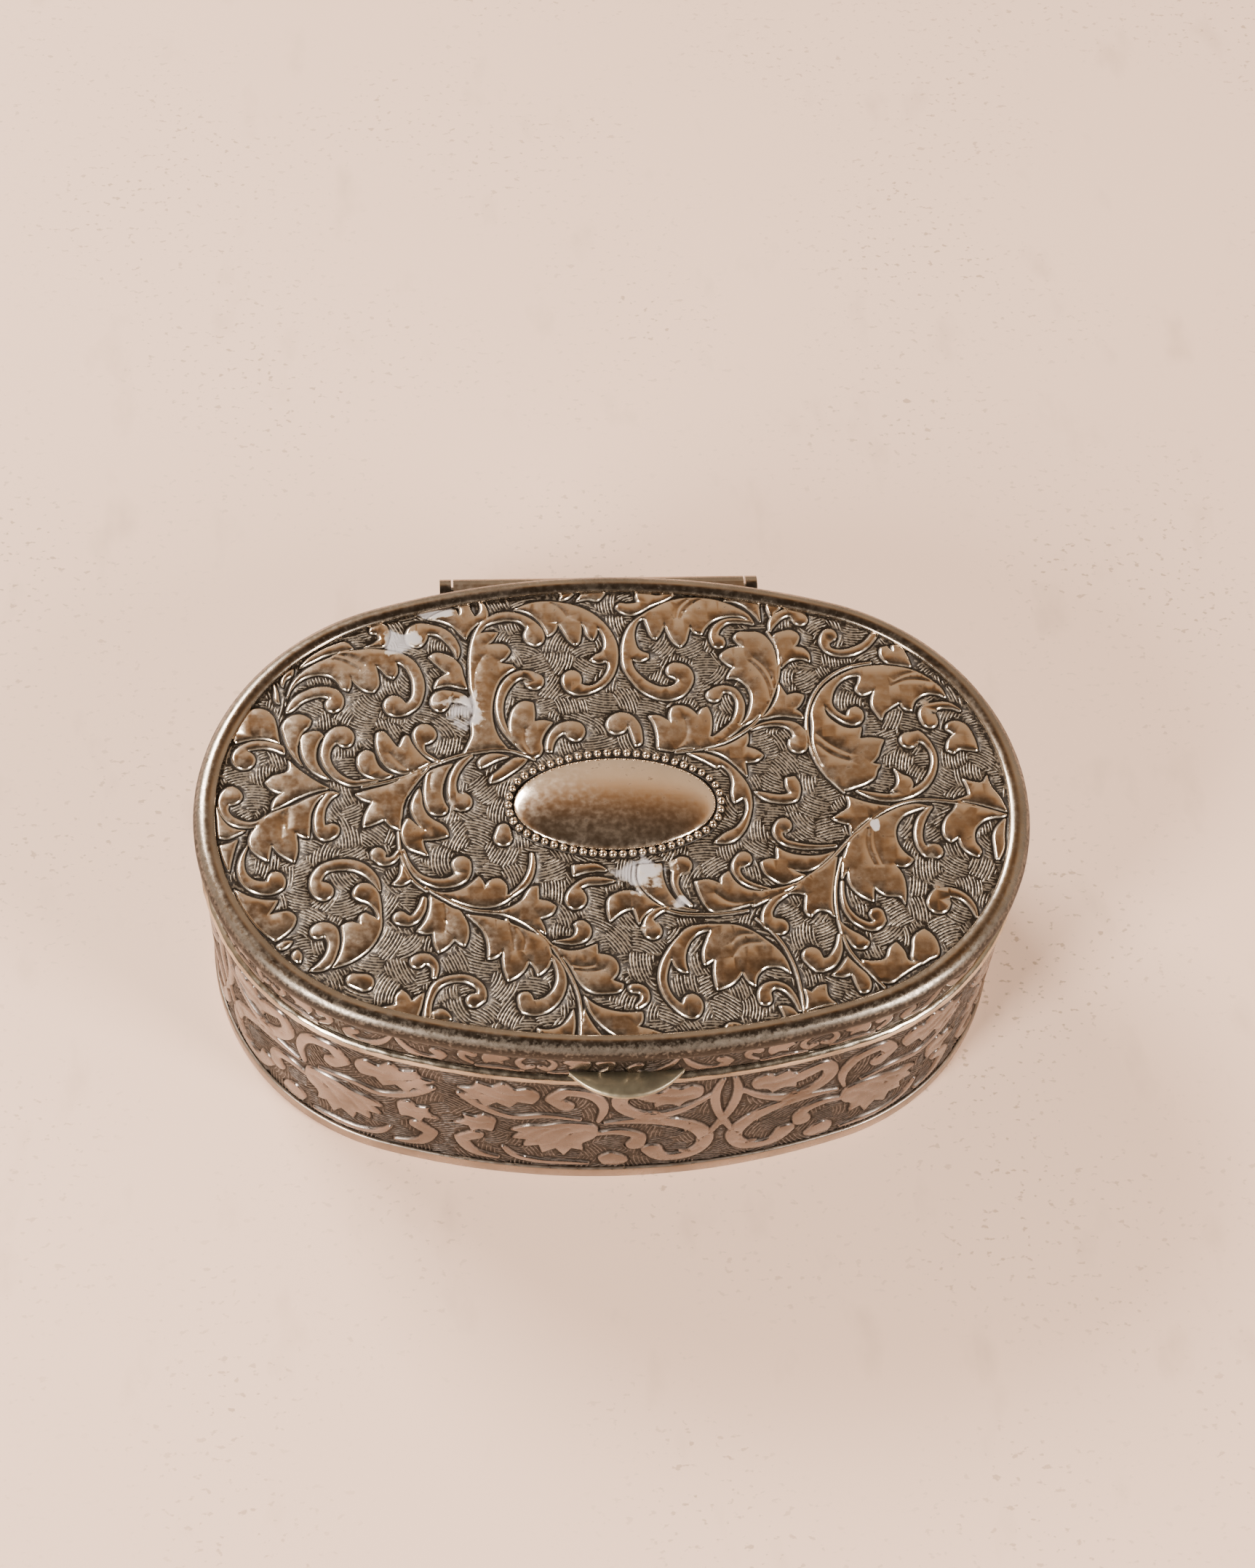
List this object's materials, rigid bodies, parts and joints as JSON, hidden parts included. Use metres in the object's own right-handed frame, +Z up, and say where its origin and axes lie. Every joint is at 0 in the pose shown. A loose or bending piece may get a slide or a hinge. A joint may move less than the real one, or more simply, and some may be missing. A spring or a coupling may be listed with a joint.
{
  "type": "oval pill box",
  "caption": "Oval metal pill box with a scroll-embossed hinged lid, a plain oval boss in a beaded border, embossed sides, a foot band and a small thumb piece for lifting the lid.",
  "frame": {"origin": "middle of the oval on the underside of the floor, at table height", "axes": "+X along the oval's length, +Y from the thumb piece at the front to the hinge at the back, +Z up"},
  "size_m": [0.09, 0.0663, 0.0314],
  "materials": {
    "embossed_silver": "silver plate over brass, embossed, darkened in the recesses",
    "polished_silver": "silver plate over brass, polished and finely scratched",
    "worn_silver": "silver plate worn through to yellow at the edges",
    "inner_silver": "plain satin plate",
    "pin_steel": "dull drawn wire"
  },
  "bodies": {
    "base": {"base_wall": "embossed_silver", "base_floor": "inner_silver", "base_foot_band": "polished_silver", "base_mouth_wire": "worn_silver", "base_inner_lip": "inner_silver", "hinge_base_leaf": "polished_silver", "hinge_pin": "pin_steel"},
    "lid": {"hinge_lid_leaf": "polished_silver", "lid_rim": "polished_silver", "lid_top_plate": "embossed_silver", "lid_skirt": "embossed_silver", "lid_boss": "polished_silver", "lid_boss_border": "polished_silver", "lid_thumb_piece": "worn_silver"}
  },
  "joints": [
    {"name": "lid_hinge", "type": "hinge", "parent": "base", "child": "lid", "pos_m": [0, 0.0324, 0.0244], "axis": [-1, 0, 0], "range_deg": [0, 100]}
  ]
}
